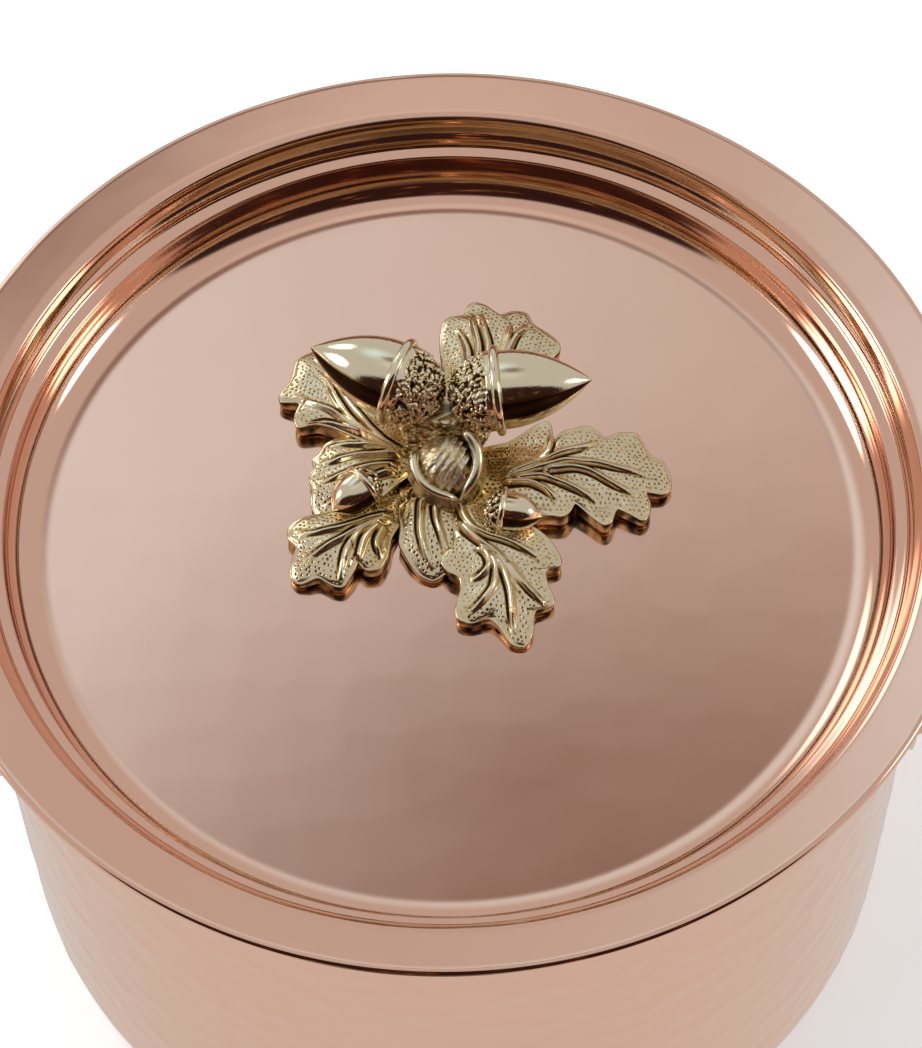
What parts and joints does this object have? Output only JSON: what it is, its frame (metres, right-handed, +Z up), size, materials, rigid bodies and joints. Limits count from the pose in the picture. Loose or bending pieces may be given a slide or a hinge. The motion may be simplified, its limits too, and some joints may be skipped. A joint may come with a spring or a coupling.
{
  "type": "stockpot with lid",
  "caption": "Round copper stockpot with two riveted side handles and a sunken lid that lifts off by an oak leaf and acorn finial.",
  "frame": {"origin": "centre of the base's underside, where the pot rests", "axes": "+Z up through the lid and finial; +X along the two handles; -Y towards the finial's front leaf, the side the picture looks from"},
  "size_m": [0.352, 0.262, 0.1821],
  "materials": {
    "copper": "polished copper, faintly hammered and brushed",
    "tin": "wiped tin lining",
    "bronze": "polished cast bronze",
    "rivet_copper": "hammered copper",
    "finial_bronze": "pale polished cast bronze, stippled and veined",
    "steel": "plain steel"
  },
  "bodies": {
    "pot": {"pot_wall": "copper", "pot_tin_lining": "tin", "handle_left": "bronze", "handle_right": "bronze", "handle_rivets": "rivet_copper"},
    "lid": {"lid_pan": "copper", "lid_tin_lining": "tin", "finial_washer": "steel", "finial_screw": "steel", "finial_plate": "finial_bronze", "finial_stem": "finial_bronze", "bud": "finial_bronze", "acorn_cup_left": "finial_bronze", "acorn_nut_left": "finial_bronze", "acorn_cup_right": "finial_bronze", "acorn_nut_right": "finial_bronze", "small_acorn_cup_left": "finial_bronze", "small_acorn_nut_left": "finial_bronze", "small_acorn_cup_right": "finial_bronze", "small_acorn_nut_right": "finial_bronze", "leaf_front": "finial_bronze", "leaf_right": "finial_bronze", "leaf_upper_left": "finial_bronze", "leaf_mid_left": "finial_bronze", "leaf_front_left": "finial_bronze", "leaf_back": "finial_bronze", "leaf_centre": "finial_bronze"}
  },
  "joints": [
    {"name": "lid_lift", "type": "slide", "parent": "pot", "child": "lid", "axis": [0, 0, 1], "range_m": [0, 0.09]}
  ]
}
